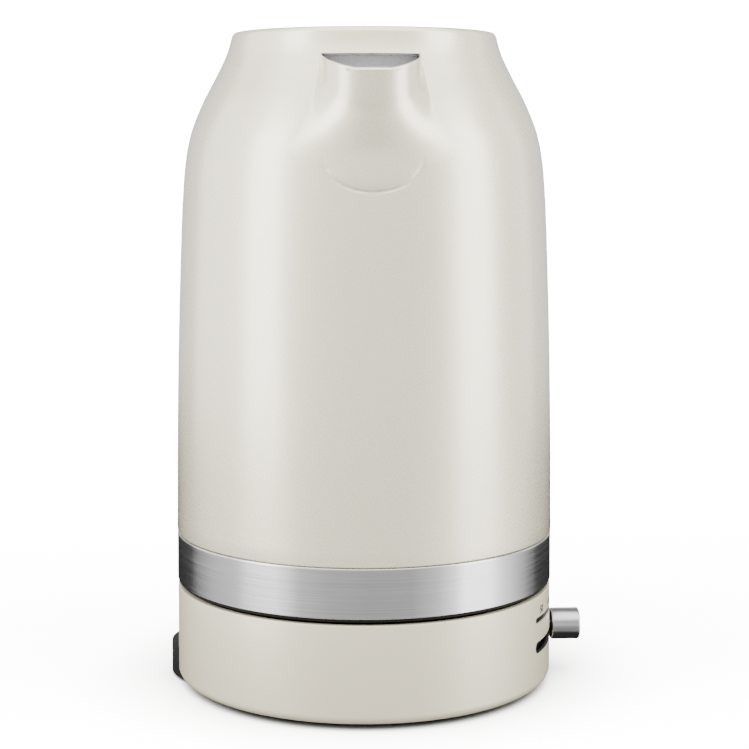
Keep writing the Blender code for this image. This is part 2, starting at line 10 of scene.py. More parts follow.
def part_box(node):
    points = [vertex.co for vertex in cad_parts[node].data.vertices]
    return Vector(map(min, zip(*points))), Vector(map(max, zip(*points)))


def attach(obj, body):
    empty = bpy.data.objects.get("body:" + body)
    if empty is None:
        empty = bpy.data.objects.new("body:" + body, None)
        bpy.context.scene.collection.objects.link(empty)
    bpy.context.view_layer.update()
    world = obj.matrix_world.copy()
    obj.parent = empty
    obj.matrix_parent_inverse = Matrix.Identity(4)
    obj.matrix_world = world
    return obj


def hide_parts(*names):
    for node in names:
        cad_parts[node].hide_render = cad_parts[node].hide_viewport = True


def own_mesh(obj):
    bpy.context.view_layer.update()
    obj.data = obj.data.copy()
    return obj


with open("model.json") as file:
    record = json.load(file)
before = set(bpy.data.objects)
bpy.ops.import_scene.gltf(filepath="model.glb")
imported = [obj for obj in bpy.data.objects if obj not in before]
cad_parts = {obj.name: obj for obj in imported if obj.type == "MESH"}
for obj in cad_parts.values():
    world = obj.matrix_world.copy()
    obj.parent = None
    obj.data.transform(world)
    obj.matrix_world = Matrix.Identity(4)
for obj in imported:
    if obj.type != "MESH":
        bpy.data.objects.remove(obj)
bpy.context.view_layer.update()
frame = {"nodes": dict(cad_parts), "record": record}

MM = 0.001


# ------------------------------------------------------------ sizes, in millimetres
def box_mm(node):
    low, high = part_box(node)
    return Vector(low) / MM, Vector(high) / MM


HOUSING_LOW, HOUSING_HIGH = box_mm("base_housing")
BAND_LOW, BAND_HIGH = box_mm("trim_band")
SHELL_HIGH = box_mm("outer_shell")[1]
KNOB_LOW, KNOB_HIGH = box_mm("control_knob")
WINDOW_LOW, WINDOW_HIGH = box_mm("scale_window")
OUTLET_LOW, OUTLET_HIGH = box_mm("cord_outlet")
DECK_LOW, DECK_HIGH = box_mm("base_deck")
COVER_HIGH = box_mm("lid_cover")[1]
HANDLE_LOW, HANDLE_HIGH = box_mm("handle_shell")
BUTTON_LOW, BUTTON_HIGH = box_mm("release_button")

BASE_R = 75.0
BASE_TOP = HOUSING_HIGH.z
BASE_WALL = 2.4
BASE_UNDERSIDE = HOUSING_LOW.z
BASE_ROUND = 3.6
GAP_DEPTH = 0.6          # the housing's edge stands this far under its CAD height, for the dark gap
SLOT_HALF_ANGLE = 30.0
SLOT_HEIGHT = 4.5
LEVER_Z = (KNOB_LOW.z + KNOB_HIGH.z) / 2
KNOB_R = (KNOB_HIGH.z - KNOB_LOW.z) / 2
KNOB_CAP = 11.6
STEM_R = 1.8
SCALE_Z = (WINDOW_LOW.z + WINDOW_HIGH.z) / 2
SCALE_HEIGHT = 2.2
OUTLET_ANGLE = 173.0
OUTLET_CENTRE = 49.8
OUTLET_R = 28.7
OUTLET_BACK = 60.0

SHELL_BOTTOM = 60.6
SHELL_WALL = 2.0
RIM_TOP = SHELL_HIGH.z
COLLAR_Z = 248.5
LIP_Z = 242.5
SPOUT_FOOT = 197.0
# The spout is a round nose: how far it reaches from the jug's axis at a few heights, and its radius.
SPOUT_REACH = ((197.0, 72.25), (200.0, 72.5), (203.0, 72.6), (207.0, 72.5), (213.0, 72.2),
               (221.6, 73.2), (232.0, 74.6), (242.5, 75.7))
SPOUT_NOSE = ((197.0, 50.0), (207.0, 50.0), (213.0, 43.0), (219.0, 29.0), (225.0, 21.5),
              (232.0, 19.5), (242.5, 18.7))
# The fillet between nose and body grows and then shrinks with height; the crease under the nose
# fades out above its foot. Each pair of heights is where such a change starts and ends.
FILLET_LEAST, FILLET_GROWTH, FILLET_LOSS = 0.2, 8.0, 5.6
FILLET_GROWS = (206.0, 224.0)
FILLET_SHRINKS = (230.0, 246.0)
CREASE_WIDTH = 0.14
CREASE_DEPTH = 0.34
CREASE_FADES = (201.0, 211.0)
FINE_ROWS = (192.0, 214.0)
LIP_SQUEEZE_FROM = 221.0
MOUTH_HALF_ANGLE = 19.4
LIP_FLAT_ANGLE = 5.2
VESSEL_FLOOR = 66.0
VESSEL_WALL = 0.8
VESSEL_TOP = 247.4
VESSEL_SHOULDER = (178.0, 212.0)
LID_CUT_Y = 38.0
HINGE_Y, HINGE_Z = 42.0, 256.3
LID_R = COVER_HIGH.x
LID_TOP = COVER_HIGH.z
HANDLE_WIDTH = HANDLE_HIGH.x - HANDLE_LOW.x
HANDLE_WALL = 2.4
HANDLE_SPLIT = 0.7

# The jug's outline: radius at a few heights, joined by a smooth curve.
JUG_OUTLINE = ((60.6, 75.3), (112.0, 74.9), (160.0, 73.8), (200.0, 72.1), (217.0, 69.7),
               (230.0, 64.9), (242.4, 58.55), (250.3, 54.9), (258.8, 52.4))

# ------------------------------------------------------------ camera
CAMERA_DISTANCE = 722.0
CAMERA_AZIMUTH = -2.7
CAMERA_HEIGHT = 216.0
CAMERA_TILT = 2.91


def make_camera():
    data = bpy.data.cameras.new("camera")
    data.sensor_width = 36.0
    data.lens = 86.3
    data.shift_x = 0.014
    data.shift_y = -0.190
    data.clip_end = 50.0
    camera = bpy.data.objects.new("camera", data)
    turn = radians(CAMERA_AZIMUTH)
    camera.location = Vector((CAMERA_DISTANCE * sin(turn), -CAMERA_DISTANCE * cos(turn),
                              CAMERA_HEIGHT)) * MM
    camera.rotation_euler = (radians(90.0 - CAMERA_TILT), 0.0, turn)
    bpy.context.collection.objects.link(camera)
    bpy.context.scene.camera = camera


# ------------------------------------------------------------ stage and light
# The studio round the kettle, as (direction in degrees, brightness of the table close by, of the
# table further off, of the walls). Direction 0 is the camera's side and 90 the kettle's right. Two
# softboxes stand left and right in front, and black flags stand behind them.
STUDIO = ((-180, 0.02, 0.02, 1.0), (-160, 0.02, 0.02, 0.9), (-132, 0.02, 0.02, 1.0),
          (-122, 0.3, 0.3, 3.0), (-106, 0.7, 0.8, 3.4), (-84, 0.9, 1.1, 3.6), (-74, 1.0, 1.5, 10.0),
          (-58, 1.1, 2.2, 10.0), (-50, 1.1, 2.1, 3.6), (-42, 0.8, 1.0, 2.4), (-24, 0.6, 0.75, 1.6),
          (0, 0.55, 0.68, 1.3), (26, 0.6, 0.75, 1.2), (42, 0.8, 1.4, 1.5), (54, 1.0, 2.6, 3.8),
          (60, 1.1, 4.8, 9.0), (78, 1.1, 4.6, 9.0), (88, 0.9, 2.8, 2.2), (102, 0.7, 1.4, 1.8),
          (117, 0.3, 0.3, 2.4), (127, 0.02, 0.02, 1.0), (160, 0.02, 0.02, 0.9),
          (180, 0.02, 0.02, 1.0))
STUDIO_PEAK = 10.0
OVERHEAD = 4.6
OVERHEAD_BACK = 0.5
UNDER_KETTLE = 0.05
BACKDROP = 20.0
FLOOR_WHITE = 0.5
FLOOR_BOOST = 5.6


def link_maths(tree, operation, first, second):
    """One maths node; each side is a socket or a number."""
    node = tree.nodes.new("ShaderNodeMath")
    node.operation = operation
    for number, value in enumerate((first, second)):
        if isinstance(value, bpy.types.NodeSocket):
            tree.links.new(value, node.inputs[number])
        else:
            node.inputs[number].default_value = value
    return node.outputs["Value"]


def blend_between(tree, value, start, end, below, above):
    """Pass from one socket or number to another while a value rises from start to end."""
    share = tree.nodes.new("ShaderNodeMapRange")
    share.interpolation_type = "SMOOTHSTEP"
    share.inputs["From Min"].default_value = start
    share.inputs["From Max"].default_value = end
    tree.links.new(value, share.inputs["Value"])
    mix = tree.nodes.new("ShaderNodeMix")
    tree.links.new(share.outputs["Result"], mix.inputs["Factor"])
    for socket, source in (("A", below), ("B", above)):
        if isinstance(source, bpy.types.NodeSocket):
            tree.links.new(source, mix.inputs[socket])
        else:
            mix.inputs[socket].default_value = source
    return mix.outputs["Result"]


def studio_ramp(tree, turn, column):
    """Brightness by direction, read from one column of STUDIO."""
    node = tree.nodes.new("ShaderNodeValToRGB")
    elements = node.color_ramp.elements
    for number, stop in enumerate(STUDIO):
        place = (stop[0] + 180) / 360
        element = elements[number] if number < 2 else elements.new(place)
        element.position = place
    for element, stop in zip(elements, STUDIO):
        level = stop[column] / STUDIO_PEAK
        element.color = (level, level, level, 1.0)
    tree.links.new(turn, node.inputs["Fac"])
    return link_maths(tree, "MULTIPLY", node.outputs["Color"], STUDIO_PEAK)


def make_world():
    """Light by direction; the camera itself sees only the white backdrop."""
    world = bpy.data.worlds.new("studio")
    world.use_nodes = True
    tree = world.node_tree
    background = tree.nodes["Background"]
    place = tree.nodes.new("ShaderNodeTexCoord")
    split = tree.nodes.new("ShaderNodeSeparateXYZ")
    tree.links.new(place.outputs["Generated"], split.inputs["Vector"])
    front = link_maths(tree, "MULTIPLY", split.outputs["Y"], -1.0)
    turn = link_maths(tree, "ARCTAN2", split.outputs["X"], front)
    turn = link_maths(tree, "DIVIDE", turn, 2 * pi)
    turn = link_maths(tree, "ADD", turn, 0.5)
    near, far, walls = (studio_ramp(tree, turn, column) for column in (1, 2, 3))
    height = split.outputs["Z"]
    ceiling = blend_between(tree, split.outputs["Y"], -0.1, 0.4, OVERHEAD, OVERHEAD_BACK)
    table = blend_between(tree, height, -0.52, -0.42, near, far)
    lit = blend_between(tree, height, -0.2, -0.1, table, walls)
    lit = blend_between(tree, height, 0.45, 0.75, lit, ceiling)
    lit = blend_between(tree, height, -0.85, -0.68, UNDER_KETTLE, lit)
    tree.links.new(lit, background.inputs["Strength"])
    seen = tree.nodes.new("ShaderNodeBackground")
    seen.inputs["Strength"].default_value = BACKDROP
    rays = tree.nodes.new("ShaderNodeLightPath")
    mix = tree.nodes.new("ShaderNodeMixShader")
    tree.links.new(rays.outputs["Is Camera Ray"], mix.inputs["Fac"])
    tree.links.new(background.outputs["Background"], mix.inputs[1])
    tree.links.new(seen.outputs["Background"], mix.inputs[2])
    background.inputs["Color"].default_value = (1.0, 1.0, 1.0, 1.0)
    seen.inputs["Color"].default_value = (1.0, 1.0, 1.0, 1.0)
    tree.links.new(mix.outputs["Shader"], tree.nodes["World Output"].inputs["Surface"])
    bpy.context.scene.world = world


def make_floor():
    """A white sweep: as bright as the backdrop to the camera, with the kettle's soft shadow on it, deepened
    by painted shade that darkens the floor's colour near the kettle.
    """
    material = bpy.data.materials.new("floor_white")
    material.use_nodes = True
    tree = material.node_tree
    tree.nodes.remove(tree.nodes["Principled BSDF"])
    # Painted contact shadow: ambient occlusion darkens the floor's colour close to the kettle.
    corner = tree.nodes.new("ShaderNodeAmbientOcclusion")
    corner.inputs["Distance"].default_value = 0.05
    shadow = link_maths(tree, "POWER", corner.outputs["AO"], 1.3)
    seen = link_maths(tree, "MULTIPLY", shadow, FLOOR_BOOST)
    rays = tree.nodes.new("ShaderNodeLightPath")
    white = blend_between(tree, rays.outputs["Is Camera Ray"], 0.0, 1.0, FLOOR_WHITE, seen)
    paint = tree.nodes.new("ShaderNodeBsdfDiffuse")
    tree.links.new(white, paint.inputs["Color"])
    tree.links.new(paint.outputs["BSDF"], tree.nodes["Material Output"].inputs["Surface"])
    bpy.ops.mesh.primitive_plane_add(size=12.0, location=(0.0, 0.0, -0.0002))
    floor = bpy.context.object
    floor.name = "floor"
    floor.visible_glossy = False
    floor.data.materials.append(material)


# ------------------------------------------------------------ materials
def new_material(name):
    material = bpy.data.materials.new(name)
    material.use_nodes = True
    return material, material.node_tree, material.node_tree.nodes["Principled BSDF"]


def noise(tree, scale, detail=2.0, stretch=(1.0, 1.0, 1.0), offset=(0.0, 0.0, 0.0)):
    """Noise over the object's own coordinates, which are metres."""
    place = tree.nodes.new("ShaderNodeTexCoord")
    mapping = tree.nodes.new("ShaderNodeMapping")
    mapping.inputs["Scale"].default_value = stretch
    mapping.inputs["Location"].default_value = offset
    texture = tree.nodes.new("ShaderNodeTexNoise")
    texture.inputs["Scale"].default_value = scale
    texture.inputs["Detail"].default_value = detail
    tree.links.new(place.outputs["Object"], mapping.inputs["Vector"])
    tree.links.new(mapping.outputs["Vector"], texture.inputs["Vector"])
    return texture.outputs["Fac"]


def ramp(tree, value, low, high, positions=(0.35, 0.65)):
    node = tree.nodes.new("ShaderNodeValToRGB")
    node.color_ramp.elements[0].position = positions[0]
    node.color_ramp.elements[1].position = positions[1]
    node.color_ramp.elements[0].color = low
    node.color_ramp.elements[1].color = high
    tree.links.new(value, node.inputs["Fac"])
    return node.outputs["Color"]


def shade(colour, factor):
    return (*(min(channel * factor, 1.0) for channel in colour), 1.0)


def vary(tree, shader, socket, value, low, high):
    """Drive a shader number between two values."""
    node = tree.nodes.new("ShaderNodeMapRange")
    node.inputs["From Min"].default_value = 0.3
    node.inputs["From Max"].default_value = 0.7
    node.inputs["To Min"].default_value = low
    node.inputs["To Max"].default_value = high
    tree.links.new(value, node.inputs["Value"])
    tree.links.new(node.outputs["Result"], shader.inputs[socket])


def bump(tree, shader, value, strength, distance):
    node = tree.nodes.new("ShaderNodeBump")
    node.inputs["Strength"].default_value = strength
    node.inputs["Distance"].default_value = distance
    tree.links.new(value, node.inputs["Height"])
    tree.links.new(node.outputs["Normal"], shader.inputs["Normal"])


def pearl(name, colour, metallic, rough, coat):
    """Pearl paint: fine flake in the colour under a clear gloss coat."""
    material, tree, shader = new_material(name)
    flake = noise(tree, 2600.0, 1.0)
    tree.links.new(ramp(tree, flake, shade(colour, 0.993), shade(colour, 1.007)),
                   shader.inputs["Base Color"])
    vary(tree, shader, "Roughness", noise(tree, 900.0, 3.0), rough - 0.015, rough + 0.015)
    shader.inputs["Metallic"].default_value = metallic
    shader.inputs["Coat Weight"].default_value = coat
    shader.inputs["Coat Roughness"].default_value = 0.06
    shader.inputs["Coat IOR"].default_value = 1.55
    return material


def brushed(name, colour, rough, stretch, contrast=0.12, depth=0.05):
    """Brushed metal: fine streaks along one direction."""
    material, tree, shader = new_material(name)
    grain = noise(tree, 900.0, 4.0, stretch)
    tree.links.new(ramp(tree, grain, shade(colour, 1.0 - contrast), shade(colour, 1.0 + contrast)),
                   shader.inputs["Base Color"])
    vary(tree, shader, "Roughness", grain, rough - 0.03, rough + 0.04)
    shader.inputs["Metallic"].default_value = 1.0
    bump(tree, shader, grain, depth, 0.0001)
    return material


def ring_brushed(name, colour, rough):
    """Steel brushed round the band: streaks that depend on height far more than on angle."""
    material = brushed(name, colour, rough, (0.02, 0.02, 6.0), 0.06, 0.012)
    tree = material.node_tree
    shader = tree.nodes["Principled BSDF"]
    shader.inputs["Anisotropic"].default_value = 0.8
    shader.inputs["Anisotropic Rotation"].default_value = 0.25
    tangent = tree.nodes.new("ShaderNodeTangent")
    tangent.direction_type = "RADIAL"
    tangent.axis = "Z"
    tree.links.new(tangent.outputs["Tangent"], shader.inputs["Tangent"])
    return material


def moulded(name, colour, rough, grain=2400.0, depth=0.12, gloss=0.5):
    """Moulded plastic or rubber with a fine spark-eroded grain."""
    material, tree, shader = new_material(name)
    fine = noise(tree, grain, 3.0)
    tree.links.new(ramp(tree, fine, shade(colour, 0.9), shade(colour, 1.1)),
                   shader.inputs["Base Color"])
    vary(tree, shader, "Roughness", noise(tree, 300.0, 2.0), rough - 0.05, rough + 0.06)
    shader.inputs["Specular IOR Level"].default_value = gloss
    bump(tree, shader, fine, depth, 0.0001)
    return material


def circuit_board(name):
    """Green board with lighter copper tracks under the mask."""
    material, tree, shader = new_material(name)
    place = tree.nodes.new("ShaderNodeTexCoord")
    bricks = tree.nodes.new("ShaderNodeTexBrick")
    bricks.inputs["Scale"].default_value = 180.0
    bricks.inputs["Mortar Size"].default_value = 0.03
    bricks.inputs["Color1"].default_value = (0.012, 0.14, 0.05, 1.0)
    bricks.inputs["Color2"].default_value = (0.016, 0.17, 0.06, 1.0)
    bricks.inputs["Mortar"].default_value = (0.05, 0.30, 0.12, 1.0)
    tree.links.new(place.outputs["Object"], bricks.inputs["Vector"])
    tree.links.new(bricks.outputs["Color"], shader.inputs["Base Color"])
    vary(tree, shader, "Roughness", noise(tree, 500.0), 0.3, 0.45)
    return material


def make_materials():
    cream = (0.77, 0.71, 0.53)
    return {
        "cream_shell": pearl("pearl_paint", cream, 0.45, 0.28, 1.0),
        # The plastic cream is darker than the paint's: partly the plastic's own tone, partly painted shade
        # for the base, which gets less light.
        "cream_plastic": pearl("pearl_plastic", (0.63, 0.575, 0.415), 0.28, 0.4, 0.4),
        "brushed_steel": ring_brushed("band_brushed_steel", (0.53, 0.53, 0.53), 0.18),
        "stainless_steel": brushed("stainless_steel", (0.66, 0.66, 0.65), 0.3, (1.0, 1.0, 0.15)),
        "satin_chrome": brushed("satin_chrome", (0.42, 0.41, 0.41), 0.2, (0.1, 1.0, 1.0), 0.06),
        "black_plastic": moulded("black_plastic", (0.006, 0.006, 0.006), 0.55, gloss=0.12),
        "grey_plastic": moulded("grey_plastic", (0.86, 0.86, 0.9), 0.4),
        "foot_rubber": moulded("foot_rubber", (0.02, 0.02, 0.02), 0.85, 1500.0, 0.3, 0.3),
        "seal_silicone": moulded("seal_silicone", (0.6, 0.6, 0.58), 0.65, 1200.0, 0.1),
        "circuit_board": circuit_board("circuit_board"),
        "contact_brass": brushed("contact_brass", (0.72, 0.52, 0.22), 0.28, (1.0, 1.0, 0.2)),
        "cast_aluminium": brushed("cast_aluminium", (0.6, 0.6, 0.61), 0.5, (1.0, 1.0, 1.0)),
        "smoked_window": moulded("smoked_window", (0.005, 0.005, 0.006), 0.4, 900.0, 0.01, 0.12),
    }


# ------------------------------------------------------------ mesh helpers
def finish_piece(name, shape, sharp=30.0):
    bmesh.ops.remove_doubles(shape, verts=shape.verts, dist=0.000002)
    bmesh.ops.recalc_face_normals(shape, faces=shape.faces)
    mesh = bpy.data.meshes.new(name)
    shape.to_mesh(mesh)
    shape.free()
    mesh.shade_smooth()
    mesh.set_sharp_from_angle(angle=radians(sharp))
    thing = bpy.data.objects.new(name, mesh)
    bpy.context.collection.objects.link(thing)
    return thing


def settle(thing, slot_name, body, *nodes):
    """Give a piece its finish, its body and the CAD nodes that it stands for."""
    thing.data.materials.clear()
    thing.data.materials.append(MATERIALS[slot_name])
    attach(thing, body)
    if nodes:
        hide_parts(*nodes)
    return thing


def lofted(name, rings, closed=False, sharp=30.0):
    shape = bmesh.new()
    made = [[shape.verts.new(Vector(point) * MM) for point in ring] for ring in rings]
    pairs = list(zip(made, made[1:]))
    if closed:
        pairs.append((made[-1], made[0]))
    for lower, upper in pairs:
        count = len(lower)
        for i in range(count):
            j = (i + 1) % count
            shape.faces.new((lower[i], lower[j], upper[j], upper[i]))
    if not closed:
        shape.faces.new(made[0])
        shape.faces.new(made[-1])
    return finish_piece(name, shape, sharp)


def turned(name, outline, segments=160, centre=(0.0, 0.0), sharp=30.0):
    """Turn an outline of (radius, z) about a vertical axis."""
    angles = [2 * pi * i / segments for i in range(segments)]
    if outline[0][0] == 0.0 and outline[-1][0] == 0.0:
        rings = [[(centre[0] + r * cos(a), centre[1] + r * sin(a), z) for a in angles]
                 for r, z in outline[1:-1]]
        return lofted(name, rings, sharp=sharp)
    columns = [[(centre[0] + r * cos(a), centre[1] + r * sin(a), z) for r, z in outline]
               for a in angles]
    return lofted(name, columns, closed=True, sharp=sharp)


def prism(name, outline, low, high, along="Z"):
    place = {"Z": lambda a, b, c: (a, b, c), "X": lambda a, b, c: (c, a, b),
             "Y": lambda a, b, c: (a, c, b)}[along]
    return lofted(name, [[place(a, b, level) for a, b in outline] for level in (low, high)])


def block(name, low, high):
    outline = [(low[0], low[1]), (high[0], low[1]), (high[0], high[1]), (low[0], high[1])]
    return prism(name, outline, low[2], high[2])


def cylinder(name, radius, low, high, centre=(0.0, 0.0), along="Z", segments=48):
    outline = [(centre[0] + radius * cos(2 * pi * i / segments),
                centre[1] + radius * sin(2 * pi * i / segments)) for i in range(segments)]
    return prism(name, outline, low, high, along)


def apply_modifier(thing, kind, **settings):
    """Add one modifier and apply it to the mesh."""
    step = thing.modifiers.new(kind.lower(), kind)
    for key, value in settings.items():
        setattr(step, key, value)
    graph = bpy.context.evaluated_depsgraph_get()
    mesh = bpy.data.meshes.new_from_object(thing.evaluated_get(graph))
    thing.modifiers.clear()
    thing.data = mesh
    return thing


def combine(thing, tool, operation):
    apply_modifier(thing, "BOOLEAN", operation=operation, object=tool)
    bpy.data.objects.remove(tool, do_unlink=True)


def cut(thing, *tools):
    for tool in tools:
        combine(thing, tool, "DIFFERENCE")


def soften(thing, width, segments=3, angle=35.0):
    """Round the sharp edges a little, and shade the result smoothly."""
    apply_modifier(thing, "BEVEL", width=width * MM, segments=segments, limit_method="ANGLE",
                   angle_limit=radians(angle), harden_normals=False)
    thing.data.shade_smooth()
    thing.data.set_sharp_from_angle(angle=radians(40.0))
    return thing


def arc_points(centre, radius, start, end, count):
    turn = [radians(start + (end - start) * i / (count - 1)) for i in range(count)]
    return [(centre[0] + radius * cos(a), centre[1] + radius * sin(a)) for a in turn]


def sector(inner, outer, half_angle, steps):
    return (arc_points((0.0, 0.0), outer, -half_angle, half_angle, steps)
            + arc_points((0.0, 0.0), inner, half_angle, -half_angle, steps))


def rounded(outline, radius, steps=4):
    """Round every corner of a flat closed outline by about the same radius."""
    result = []
    count = len(outline)
    for i in range(count):
        corner = Vector(outline[i])
        before = (Vector(outline[i - 1]) - corner).normalized()
        after = (Vector(outline[(i + 1) % count]) - corner).normalized()
        start, end = corner + before * radius, corner + after * radius
        for k in range(steps + 1):
            t = k / steps
            result.append(tuple(start * (1 - t) ** 2 + corner * 2 * t * (1 - t) + end * t ** 2))
    return result


MATERIALS = make_materials()


# ------------------------------------------------------------ the jug's surface
def smooth_curve(knots, where):
    """Cubic through (position, value) knots."""
    slopes = []
    for i in range(len(knots)):
        before, after = knots[max(i - 1, 0)], knots[min(i + 1, len(knots) - 1)]
        slopes.append((after[1] - before[1]) / (after[0] - before[0]))
    where = min(max(where, knots[0][0]), knots[-1][0])
    for i in range(len(knots) - 1):
        (a, va), (b, vb) = knots[i], knots[i + 1]
        if where <= b:
            span = b - a
            t = (where - a) / span
            return ((2 * t ** 3 - 3 * t ** 2 + 1) * va + (t ** 3 - 2 * t ** 2 + t) * span * slopes[i]
                    + (3 * t ** 2 - 2 * t ** 3) * vb + (t ** 3 - t ** 2) * span * slopes[i + 1])
    return knots[-1][1]


def body_radius(z):
    return smooth_curve(JUG_OUTLINE, z)


def share_of(value, start, end):
    """How far a value has gone from start to end, from 0 to 1."""
    return min(max((value - start) / (end - start), 0.0), 1.0)


def jug_radius(angle, z):
    """Outer radius of the jug: the round body and the spout's nose, with a filleted join."""
    round_body = body_radius(z)
    nose = smooth_curve(SPOUT_NOSE, z)
    centre = smooth_curve(SPOUT_REACH, z) - nose
    inside = nose ** 2 - (centre * sin(angle)) ** 2
    if z < SPOUT_FOOT - 1.0 or cos(angle) <= 0.0 or inside <= 0.0:
        return round_body
    tip = centre * cos(angle) + sqrt(inside)
    past_nose = sqrt(max(centre ** 2 - nose ** 2, 0.0))
    width = FILLET_LEAST + FILLET_GROWTH * share_of(z, *FILLET_GROWS)
    width -= FILLET_LOSS * share_of(z, *FILLET_SHRINKS)
    width = min(width, max(round_body - past_nose, 0.05))
    apart = abs(round_body - tip)
    fillet = max(width - apart, 0.0) / width
    crease = max(CREASE_WIDTH - apart, 0.0) / CREASE_WIDTH * (1.0 - share_of(z, *CREASE_FADES))
    return max(round_body, tip) + fillet * fillet * width / 4.0 - CREASE_DEPTH * crease


def lip_height(angle):
    share = (abs(degrees(angle)) - LIP_FLAT_ANGLE) / (MOUTH_HALF_ANGLE - LIP_FLAT_ANGLE)
    share = min(max(share, 0.0), 1.0)
    return LIP_Z + (COLLAR_Z - LIP_Z) * (0.35 * share ** 2 + 0.65 * share)


def jug_angles():
    """Directions of the jug's columns from the spout, closer together on the spout."""
    half = [MOUTH_HALF_ANGLE * i / 40 for i in range(41)]
    half += [MOUTH_HALF_ANGLE + (30.0 - MOUTH_HALF_ANGLE) * i / 20 for i in range(1, 21)]
    half += [30.0 + 150.0 * i / 56 for i in range(1, 57)]
    return [radians(a) for a in half] + [radians(-a) for a in reversed(half[1:-1])]


ANGLES = jug_angles()


def jug_point(radius, angle, z):
    return (radius * sin(angle), -radius * cos(angle), z)


def in_mouth(angle):
    return abs(degrees(angle)) <= MOUTH_HALF_ANGLE + 0.01


def at_mouth_end(angle):
    return abs(abs(degrees(angle)) - MOUTH_HALF_ANGLE) < 0.01


def squeezed(angle, z, top):
    """Row heights follow the lip inside the mouth and stay level elsewhere."""
    level = LIP_SQUEEZE_FROM
    if not in_mouth(angle) or z <= level:
        return z
    return level + (z - level) * (lip_height(angle) - (COLLAR_Z - top) - level) / (top - level)


def steps(low, high, count):
    return [low + (high - low) * i / count for i in range(count)]


def surface_rows():
    """Heights of the wall's rows, closer together over the spout's foot."""
    low, high = FINE_ROWS
    return (steps(SHELL_BOTTOM + 0.6, low, 26) + steps(low, high, 80)
            + steps(high, COLLAR_Z, 26) + [COLLAR_Z])


def plain_ring(radius, z):
    return [jug_point(radius, angle, z) for angle in ANGLES]


def make_shell():
    """The painted outer wall with its spout, rounded lip and the collar over the mouth."""
    lip_round = ((0.0, 1.0), (0.15, 0.55), (0.45, 0.2), (0.9, 0.0), (1.4, 0.0), (1.7, 0.1),
                 (1.9, 0.35), (SHELL_WALL, 0.7))

    def wall(offset, z, down=0.0):
        row = []
        for angle in ANGLES:
            height = squeezed(angle, z, COLLAR_Z)
            lowered = height - down if in_mouth(angle) and not at_mouth_end(angle) else height
            row.append(jug_point(jug_radius(angle, height) - offset, angle, lowered))
        return row

    def collar(offset, z):
        row = []
        for angle in ANGLES:
            bare = in_mouth(angle) and not at_mouth_end(angle)
            radius = body_radius(z) if bare else jug_radius(angle, z)
            row.append(jug_point(radius - offset, angle, z))
        return row

    rows = surface_rows()
    collar_rows = steps(COLLAR_Z, RIM_TOP - 1.2, 10) + [RIM_TOP - 1.2]
    rim = body_radius(RIM_TOP)
    crown_round = [plain_ring(rim - 1.1 + 1.1 * cos(t), RIM_TOP - 1.1 + 1.1 * sin(t))
                   for t in (0.35, 0.8, 1.25, pi / 2)]
    crown_round += [plain_ring(rim - SHELL_WALL + 0.5 - 0.5 * sin(t), RIM_TOP - 0.5 + 0.5 * cos(t))
                    for t in (0.3, 0.9, pi / 2)]
    foot = [plain_ring(74.0, 43.2), plain_ring(74.0, SHELL_BOTTOM),
            plain_ring(75.0, SHELL_BOTTOM), plain_ring(75.22, SHELL_BOTTOM + 0.18)]
    inner = [wall(SHELL_WALL, z) for z in reversed(rows[:-1:2])]
    inner += [plain_ring(72.0, 64.0), plain_ring(72.0, 43.2)]
    outer = foot + [wall(0.0, z) for z in rows[:-1]]
    crown = [collar(0.0, z) for z in collar_rows] + crown_round
    crown += [collar(SHELL_WALL, z) for z in reversed(collar_rows)]

    shape = bmesh.new()

    def strip(rings, mouth_only=False):
        made = [[shape.verts.new(Vector(p) * MM) for p in row] for row in rings]
        for lower, upper in zip(made, made[1:]):
            for i in range(len(ANGLES)):
                j = (i + 1) % len(ANGLES)
                if not mouth_only or (in_mouth(ANGLES[i]) and in_mouth(ANGLES[j])):
                    shape.faces.new((lower[i], lower[j], upper[j], upper[i]))

    first, last = lip_round[0], lip_round[-1]
    strip([wall(last[0], COLLAR_Z, last[1])] + inner + outer + [wall(first[0], COLLAR_Z, first[1])])
    strip(crown)
    strip([wall(offset, COLLAR_Z, down) for offset, down in lip_round], mouth_only=True)
    strip([collar(offset, COLLAR_Z) for offset, down in lip_round], mouth_only=True)
    shell = finish_piece("jug_shell", shape, 32.0)
    bolt_hole = block("bolt_hole", (-4.7, 46.0, 247.9), (4.7, 62.0, 251.2))
    cut(shell, bolt_hole)
    shell.data.shade_smooth()
    shell.data.set_sharp_from_angle(angle=radians(32.0))
    settle(shell, "cream_shell", "jug", "outer_shell")


def vessel_offset(z):
    """How far inside the jug's surface the vessel stands."""
    return 7.0 - 3.2 * share_of(z, *VESSEL_SHOULDER)


def make_vessel():
    """The stainless inner vessel, open at the spout and the neck."""
    shoulder = VESSEL_SHOULDER[0]
    rows = steps(VESSEL_FLOOR + 6.0, shoulder, 8) + steps(shoulder, VESSEL_TOP, 34) + [VESSEL_TOP]

    def ring(z, extra):
        row = []
        for angle in ANGLES:
            height = squeezed(angle, z, VESSEL_TOP)
            row.append(jug_point(jug_radius(angle, height) - vessel_offset(height) - extra,
                                 angle, height))
        return row

    side = body_radius(VESSEL_FLOOR) - vessel_offset(VESSEL_FLOOR)
    heel = [(side - 6.0 + 6.0 * sin(t), VESSEL_FLOOR + 6.0 - 6.0 * cos(t)) for t in (0.0, 0.4, 0.8, 1.2)]
    outer = [plain_ring(r, z) for r, z in heel] + [ring(z, 0.0) for z in rows]
    inner = [ring(z, VESSEL_WALL) for z in reversed(rows)]
    inner += [plain_ring(r - VESSEL_WALL * 0.7, z + VESSEL_WALL) for r, z in reversed(heel)]
    settle(lofted("steel_vessel", outer + inner), "stainless_steel", "jug", "inner_vessel")


